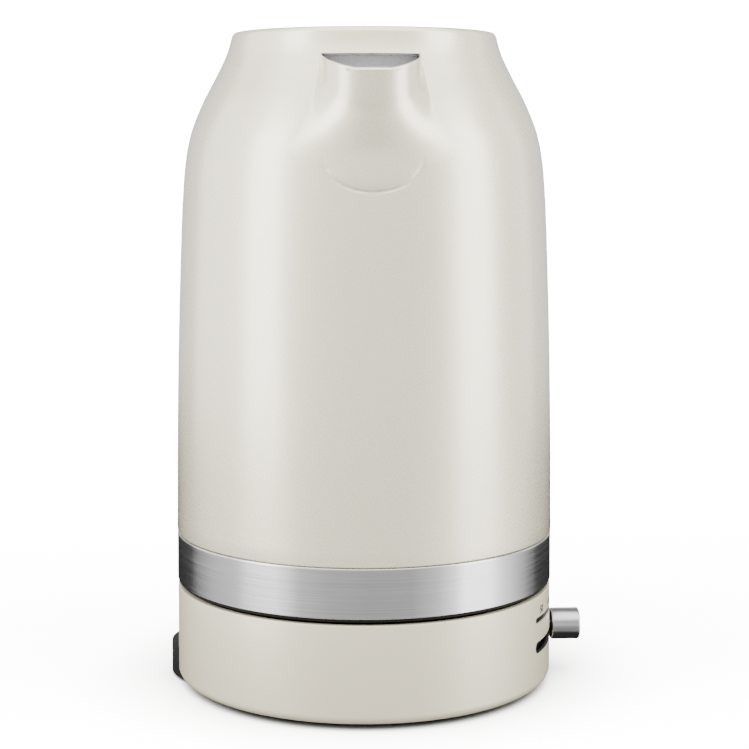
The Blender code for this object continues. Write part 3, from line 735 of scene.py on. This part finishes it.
# ------------------------------------------------------------ the base
def outlet_outline(grow=0.0, points=40):
    back, radius = OUTLET_BACK - grow, OUTLET_R + grow
    half = degrees(atan2(sqrt(radius ** 2 - (back - OUTLET_CENTRE) ** 2), back - OUTLET_CENTRE))
    turn = Matrix.Rotation(radians(OUTLET_ANGLE), 2)
    return [tuple(turn @ Vector(point))
            for point in arc_points((OUTLET_CENTRE, 0.0), radius, -half, half, points)]


def slot_outline(half_angle, height, z, steps_round=8):
    """A long slot with round ends, as (angle in degrees, height) round its edge."""
    radius = height / 2
    bend = degrees(radius / BASE_R)
    edge = [(half_angle - bend + bend * cos(t), z + radius * sin(t))
            for t in (-pi / 2 + pi * i / steps_round for i in range(steps_round + 1))]
    edge += [(-half_angle + bend - bend * cos(t), z + radius * sin(t))
             for t in (pi / 2 - pi * i / steps_round for i in range(steps_round + 1))]
    return edge


def slot_cutter(name, half_angle, height, z, inner, outer):
    """A curved bar with round ends, which cuts a slot through the housing or its liner."""
    ends = {(round(angle, 5), level - z) for angle, level in slot_outline(half_angle, height, z)
            if level >= z and abs(angle) > half_angle - 3.0}
    middle = [(-half_angle + 2 * half_angle * i / 60, height / 2) for i in range(3, 58)]
    columns = sorted(list(ends) + middle)
    shape = bmesh.new()
    rings = []
    for angle, level in columns:
        level = max(level, 0.02)
        ring = []
        for radius, side in ((inner, -1), (outer, -1), (outer, 1), (inner, 1)):
            x, y = radius * cos(radians(angle)), radius * sin(radians(angle))
            ring.append(shape.verts.new(Vector((x, y, z + side * level)) * MM))
        rings.append(ring)
    for lower, upper in zip(rings, rings[1:]):
        for i in range(4):
            j = (i + 1) % 4
            shape.faces.new((lower[i], lower[j], upper[j], upper[i]))
    shape.faces.new(rings[0])
    shape.faces.new(rings[-1])
    return finish_piece(name, shape)


def make_base():
    inner = BASE_R - BASE_WALL
    foot = arc_points((BASE_R - BASE_ROUND, BASE_UNDERSIDE + BASE_ROUND), BASE_ROUND, -90.0, 0.0, 9)
    top = BASE_TOP - GAP_DEPTH
    crown = arc_points((BASE_R - 0.45, top - 0.45), 0.45, 0.0, 90.0, 5)
    outline = foot + crown + [(inner, top), (inner, 7.0), (69.4, 4.6), (69.4, BASE_UNDERSIDE)]
    housing = turned("base_shell", outline, 288)
    cut(housing, slot_cutter("lever_slot", SLOT_HALF_ANGLE, SLOT_HEIGHT, LEVER_Z, 66.0, 82.0),
        slot_cutter("scale_slot", SLOT_HALF_ANGLE, SCALE_HEIGHT, SCALE_Z, 66.0, 82.0),
        prism("outlet_notch", outlet_outline(0.3), -5.0, OUTLET_HIGH.z + 0.3))
    housing.data.shade_smooth()
    housing.data.set_sharp_from_angle(angle=radians(32.0))
    settle(housing, "cream_plastic", "base", "base_housing")

    liner = slot_cutter("slot_liner", SLOT_HALF_ANGLE, SLOT_HEIGHT, LEVER_Z, inner + 0.1, BASE_R - 0.05)
    cut(liner, slot_cutter("liner_hole", SLOT_HALF_ANGLE - 0.3, SLOT_HEIGHT - 0.6, LEVER_Z, 66.0, 82.0))
    settle(liner, "black_plastic", "base")

    outlet = prism("outlet_boss", outlet_outline(), OUTLET_LOW.z, OUTLET_HIGH.z)
    hole = cylinder("cord_hole", 3.6, 55.0, 85.0, (0.0, 8.6), "X")
    hole.data.transform(Matrix.Rotation(radians(OUTLET_ANGLE), 4, "Z"))
    cut(outlet, hole)
    soften(outlet, 0.7)
    settle(outlet, "black_plastic", "base", "cord_outlet")

    edge = DECK_HIGH.x
    ridge = [(r + dr, DECK_HIGH.z - dz) for r in (30.0, 46.0, 62.0)
             for dr, dz in ((0.0, 0.0), (0.25, 0.35), (0.75, 0.35), (1.0, 0.0))]
    deck = [(13.2, DECK_LOW.z), (edge, DECK_LOW.z), (edge, DECK_HIGH.z - 0.5),
            (edge - 0.5, DECK_HIGH.z)] + ridge[::-1] + [(13.6, DECK_HIGH.z), (13.2, DECK_HIGH.z - 0.4)]
    settle(turned("deck_plate", deck), "black_plastic", "base", "base_deck")
    post = [(9.4, 30.0), (22.0, 30.0), (22.0, 33.0), (12.6, 33.0)]
    post += arc_points((11.6, 48.0), 1.0, 0.0, 90.0, 5) + [(9.8, 49.0), (9.4, 48.6)]
    settle(turned("post_sleeve", post, 96), "grey_plastic", "base", "connector_post")
    ring = [(13.2, 38.9), (18.0, 38.9), (18.0, 39.7), (17.7, 40.0), (13.5, 40.0), (13.2, 39.7)]
    settle(turned("shutter_ring", ring, 96), "grey_plastic", "connector_shutter", "connector_shutter")

    for number, angle in enumerate((45.0, 135.0, 225.0, 315.0), 1):
        place = (52.0 * cos(radians(angle)), 52.0 * sin(radians(angle)))
        pad = [(0.0, 0.0), (6.9, 0.0), (7.35, 0.15), (7.5, 0.5), (7.5, 1.2), (0.0, 1.2)]
        settle(turned(f"foot_pad_{number}", pad, 48, place), "foot_rubber", "base",
               f"rubber_foot_{number}")


def make_scale():
    """The dark scale strip, and the temperature numbers above it."""
    inner = BASE_R - BASE_WALL
    window = prism("scale_strip", sector(inner - 1.2, BASE_R - 0.2, SLOT_HALF_ANGLE - 0.6, 81),
                   SCALE_Z - 0.8, SCALE_Z + 0.8)
    settle(window, "smoked_window", "base", "scale_window")
    ink_low, ink_high = BASE_R - 0.05, BASE_R + 0.06
    for place in range(6):
        angle = -25.0 + 10.0 * place
        curve = bpy.data.curves.new(f"number_{place}", "FONT")
        curve.body = str(50 + 10 * place)
        curve.size = 4.0
        curve.align_x = "CENTER"
        curve.extrude = 0.5
        curve.offset = 0.07
        flat = bpy.data.objects.new(f"number_{place}", curve)
        bpy.context.collection.objects.link(flat)
        graph = bpy.context.evaluated_depsgraph_get()
        mesh = bpy.data.meshes.new_from_object(flat.evaluated_get(graph))
        bpy.data.objects.remove(flat, do_unlink=True)
        for vertex in mesh.vertices:
            x, y, depth = vertex.co
            turn = radians(angle) + x / BASE_R
            radius = ink_high if depth > 0.0 else ink_low
            vertex.co = Vector((radius * cos(turn), radius * sin(turn), SCALE_Z + 2.3 + y)) * MM
        number = bpy.data.objects.new(f"scale_number_{50 + 10 * place}", mesh)
        bpy.context.collection.objects.link(number)
        settle(number, "black_plastic", "base")


def make_knob():
    """Satin metal push knob on its stem, with a turned end face and a thin dark washer behind, which is
    partly a real collar and partly painted shade at the knob's root.
    """
    stem, root, tip, r = STEM_R, KNOB_HIGH.x - KNOB_CAP, KNOB_HIGH.x, KNOB_R
    outline = [(KNOB_LOW.x, stem), (root, stem), (root, r - 0.7)]
    outline += [(root + 0.5 - 0.5 * cos(t), r - 0.5 + 0.5 * sin(t)) for t in (0.5, 1.0, pi / 2)]
    outline += [(tip - 0.9 + 0.9 * sin(t), r - 0.9 + 0.9 * cos(t)) for t in (0.0, 0.4, 0.8, 1.2)]
    outline += [(tip, r - 1.2), (tip - 0.12, r - 1.5), (tip - 0.12, 1.0)]
    rings = [[(x, radius * cos(2 * pi * i / 72), LEVER_Z + radius * sin(2 * pi * i / 72))
              for i in range(72)] for x, radius in outline]
    settle(lofted("push_knob", rings), "satin_chrome", "control_knob", "control_knob")
    # Dark washer: partly a real collar, partly painted shade in the gap at the knob's root.
    skirt = cylinder("knob_shade_washer", r - 0.7, root - 0.17, root - 0.02, (0.0, LEVER_Z), "X", 72)
    settle(skirt, "black_plastic", "control_knob")


# ------------------------------------------------------------ the jug's foot, neck and lid
def make_band():
    low = BAND_LOW.z + 0.35
    outline = [(74.3, low), (75.0, low), (75.2, low + 0.2)]
    outline += [(75.2, BAND_LOW.z + 18.3)]
    outline += arc_points((74.7, BAND_HIGH.z - 0.5), 0.5, 0.0, 90.0, 5) + [(74.3, BAND_HIGH.z)]
    settle(turned("steel_band", outline, 288), "brushed_steel", "jug", "trim_band")
    cover = [(13.4, 40.3), (74.4, 40.3), (74.6, 40.5), (74.6, low - 0.05), (73.4, low - 0.05),
             (73.4, 42.9), (13.4, 42.9)]
    settle(turned("foot_cover", cover), "black_plastic", "jug", "jug_bottom_cover")
    socket = [(0.0, 52.4), (2.8, 52.4), (2.8, 43.2), (4.0, 43.2), (4.0, 50.0), (13.4, 50.0),
              (13.4, 43.2), (17.0, 43.2), (17.0, 54.0), (0.0, 54.0)]
    settle(turned("socket", socket, 96), "grey_plastic", "jug", "jug_connector")


def make_neck():
    outline = [(45.6, 241.3), (45.9, 241.0), (47.3, 241.0), (47.6, 241.3), (48.6, 247.9),
               (51.8, 247.9), (51.8, 250.5), (50.0, 257.0), (49.7, 257.3), (49.1, 257.3),
               (48.9, 257.1), (48.9, 253.6), (45.9, 253.6), (45.6, 253.3)]
    ring = turned("neck_collar", outline, 192)
    cut(ring, block("neck_bolt_hole", (-4.6, 42.0, 247.95), (4.6, 54.0, 251.3)))
    settle(ring, "grey_plastic", "jug", "neck_ring")


def make_lid():
    crown = arc_points((LID_R - 1.2, LID_TOP - 1.2), 1.2, 0.0, 90.0, 7)
    cover = turned("lid_top", [(0.0, 255.0), (LID_R, 255.0)] + crown + [(0.0, LID_TOP)], 192)
    cut(cover, block("lid_back", (-60.0, LID_CUT_Y, 240.0), (60.0, 70.0, 270.0)))
    barrel = cylinder("barrel", 2.3, -15.0, 15.0, (HINGE_Y, HINGE_Z), "X")
    arm = block("barrel_arm", (-15.0, LID_CUT_Y - 2.0, 255.3), (15.0, HINGE_Y, 258.3))
    combine(cover, arm, "UNION")
    combine(cover, barrel, "UNION")
    cut(cover, cylinder("lid_pin_hole", 1.3, -16.0, 16.0, (HINGE_Y, HINGE_Z), "X"))
    cover.data.shade_smooth()
    cover.data.set_sharp_from_angle(angle=radians(30.0))
    settle(cover, "cream_plastic", "lid", "lid_cover")

    plug = turned("lid_underside", [(0.0, 243.0), (41.4, 243.0), (42.5, 243.5), (43.0, 244.6),
                                    (44.4, 254.7), (42.4, 254.7), (41.2, 245.0), (0.0, 245.0)], 160)
    cut(plug, block("plug_back", (-60.0, LID_CUT_Y - 1.0, 235.0), (60.0, 70.0, 270.0)))
    settle(plug, "stainless_steel", "lid", "lid_plug")
    outline = [(-29.0, LID_CUT_Y + 0.6), (29.0, LID_CUT_Y + 0.6)]
    outline += arc_points((0.0, 0.0), 48.5, 53.2, 126.8, 30)
    bracket = prism("hinge_block", outline, 253.9, 258.4)
    cut(bracket, block("barrel_notch", (-15.5, 30.0, 250.0), (15.5, HINGE_Y + 2.9, 262.0)),
        cylinder("bracket_pin_hole", 1.3, -20.0, 20.0, (HINGE_Y, HINGE_Z), "X", 24))
    settle(bracket, "cream_plastic", "jug", "hinge_bracket")


# ------------------------------------------------------------ the handle
def smooth_points(points, count):
    """Points along a smooth curve through a few given ones, evenly spread by knot."""
    ys = [(i, p[0]) for i, p in enumerate(points)]
    zs = [(i, p[1]) for i, p in enumerate(points)]
    last = len(points) - 1
    return [(smooth_curve(ys, last * i / (count - 1)), smooth_curve(zs, last * i / (count - 1)))
            for i in range(count)]


def handle_stations():
    outer = [(54.0, 253.6), (72.0, 254.2), (90.0, 254.2), (104.0, 253.4), (118.0, 249.0),
             (130.0, 238.5), (136.6, 222.0), (138.0, 200.0), (136.5, 170.0), (133.5, 140.0),
             (128.0, 120.0), (116.0, 104.0), (98.0, 95.0), (84.0, 92.5), (74.0, 92.0)]
    inner = [(62.0, 229.0), (74.0, 229.5), (86.0, 229.5), (95.0, 228.6), (104.0, 225.0),
             (110.6, 218.0), (113.2, 208.0), (114.0, 195.0), (112.8, 170.0), (110.4, 146.0),
             (106.6, 132.0), (100.0, 122.5), (91.0, 117.5), (83.0, 116.0), (74.0, 116.0)]
    return list(zip(smooth_points(outer, 71), smooth_points(inner, 71)))


def swept_handle(name, section):
    stations = handle_stations()
    rings = []
    for number, (outside, inside) in enumerate(stations):
        outer, inner = Vector(outside), Vector(inside)
        depth = (inner - outer).length
        direction = (inner - outer) / depth
        ring = []
        for x, n in section(depth):
            y, z = outer + direction * n
            if number in (0, len(stations) - 1):
                y = sqrt((body_radius(z) + 0.15) ** 2 - x ** 2)
            ring.append((x, y, z))
        rings.append(ring)
    return lofted(name, rings, sharp=38.0)


def shell_section(depth):
    half, wall, corner = HANDLE_WIDTH / 2, HANDLE_WALL, 7.0
    end = depth * HANDLE_SPLIT
    left = arc_points((-half + corner, corner), corner, 180.0, 270.0, 10)
    right = arc_points((half - corner, corner), corner, 270.0, 360.0, 10)
    inner_right = arc_points((half - corner, corner), corner - wall, 360.0, 270.0, 6)
    inner_left = arc_points((-half + corner, corner), corner - wall, 270.0, 180.0, 6)
    return ([(-half + 0.2, end), (-half, end - 0.25)] + left + right
            + [(half, end - 0.25), (half - 0.2, end), (half - wall, end)]
            + inner_right + inner_left + [(-half + wall, end)])


def grip_section(depth):
    half, corner = HANDLE_WIDTH / 2 - 0.3, 5.0
    start = depth * HANDLE_SPLIT + 0.3
    left = arc_points((-half + corner, depth - corner), corner, 180.0, 90.0, 10)
    right = arc_points((half - corner, depth - corner), corner, 90.0, 0.0, 10)
    return [(-half + 0.3, start), (-half, start + 0.3)] + left + right + [(half, start + 0.3),
                                                                        (half - 0.3, start)]


def make_handle():
    shell = swept_handle("handle_body", shell_section)
    low_y, high_y = BUTTON_LOW.y - 0.4, BUTTON_HIGH.y + 0.4
    half = BUTTON_HIGH.x + 0.4
    outline = [(-half, low_y), (half, low_y), (half, high_y), (-half, high_y)]
    cut(shell, prism("button_window", rounded(outline, 3.0, 6), 244.0, 262.0))
    shell.data.shade_smooth()
    shell.data.set_sharp_from_angle(angle=radians(38.0))
    settle(shell, "cream_plastic", "jug", "handle_shell")
    settle(swept_handle("grip_insert", grip_section), "black_plastic", "jug", "handle_grip")

    half = BUTTON_HIGH.x
    low_y, high_y, top = BUTTON_LOW.y, BUTTON_HIGH.y, BUTTON_HIGH.z
    outline = rounded([(-half, low_y), (half, low_y), (half, high_y), (-half, high_y)], 2.8, 6)
    button = prism("button_cap", outline, 251.4, top)
    soften(button, 0.8, 4)
    stem = prism("button_stem", [(83.0, 240.6), (84.0, 240.6), (92.5, 249.1), (92.5, 252.0), (83.0, 252.0)],
                 -3.8, 3.8, "X")
    combine(button, stem, "UNION")
    button.data.shade_smooth()
    button.data.set_sharp_from_angle(angle=radians(38.0))
    settle(button, "satin_chrome", "release_button", "release_button")


def make_button_spring():
    """The coil spring under the release button, with a mesh of its own."""
    low, high = box_mm("button_spring")
    wire, turns, steps_round = 0.35, 5.0, 20
    middle = (low + high) / 2
    radius = (high.x - low.x) / 2 - wire
    count = int(turns * steps_round)
    rings = []
    for i in range(count + 1):
        turn = 2 * pi * i / steps_round
        z = low.z + wire + (high.z - low.z - 2 * wire) * i / count
        ring = []
        for k in range(8):
            t = 2 * pi * k / 8
            reach = radius + wire * cos(t)
            ring.append((middle.x + reach * cos(turn), middle.y + reach * sin(turn), z + wire * sin(t)))
        rings.append(ring)
    spring = settle(lofted("button_coil", rings), "stainless_steel", "jug", "button_spring")
    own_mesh(spring)


def make_filter():
    """A framed fine mesh: thin wires both ways instead of one flat plate."""
    shape = bmesh.new()
    for along, count in (("Z", 25), ("X", 18)):
        for i in range(count):
            share = (i + 0.5) / count
            if along == "Z":
                x = -18.6 + 37.2 * share
                low, high = (x - 0.15, -48.95, 209.3), (x + 0.15, -48.7, 235.7)
            else:
                z = 209.4 + 26.2 * share
                low, high = (-18.6, -48.7, z - 0.15), (18.6, -48.45, z + 0.15)
            size = Vector(high) - Vector(low)
            middle = (Vector(high) + Vector(low)) / 2
            place = Matrix.Translation(middle * MM) @ Matrix.Diagonal((*(size * MM), 1.0))
            bmesh.ops.create_cube(shape, size=1.0, matrix=place)
    mesh = bpy.data.meshes.new("filter_wires")
    shape.to_mesh(mesh)
    shape.free()
    wires = bpy.data.objects.new("filter_wires", mesh)
    bpy.context.collection.objects.link(wires)
    settle(wires, "stainless_steel", "filter", "filter_mesh")


def dress_cad_nodes():
    """Every CAD node that stays visible takes the material of its slot."""
    slots = {part["node"]: part["material_slot"] for part in frame["record"]["subparts"]}
    for name, thing in frame["nodes"].items():
        thing.data.materials.clear()
        thing.data.materials.append(MATERIALS[slots[name]])


def main():
    make_camera()
    make_world()
    make_floor()
    for maker in (make_shell, make_vessel, make_base, make_scale, make_knob, make_band,
                  make_neck, make_lid, make_handle, make_button_spring, make_filter,
                  dress_cad_nodes):
        maker()


main()
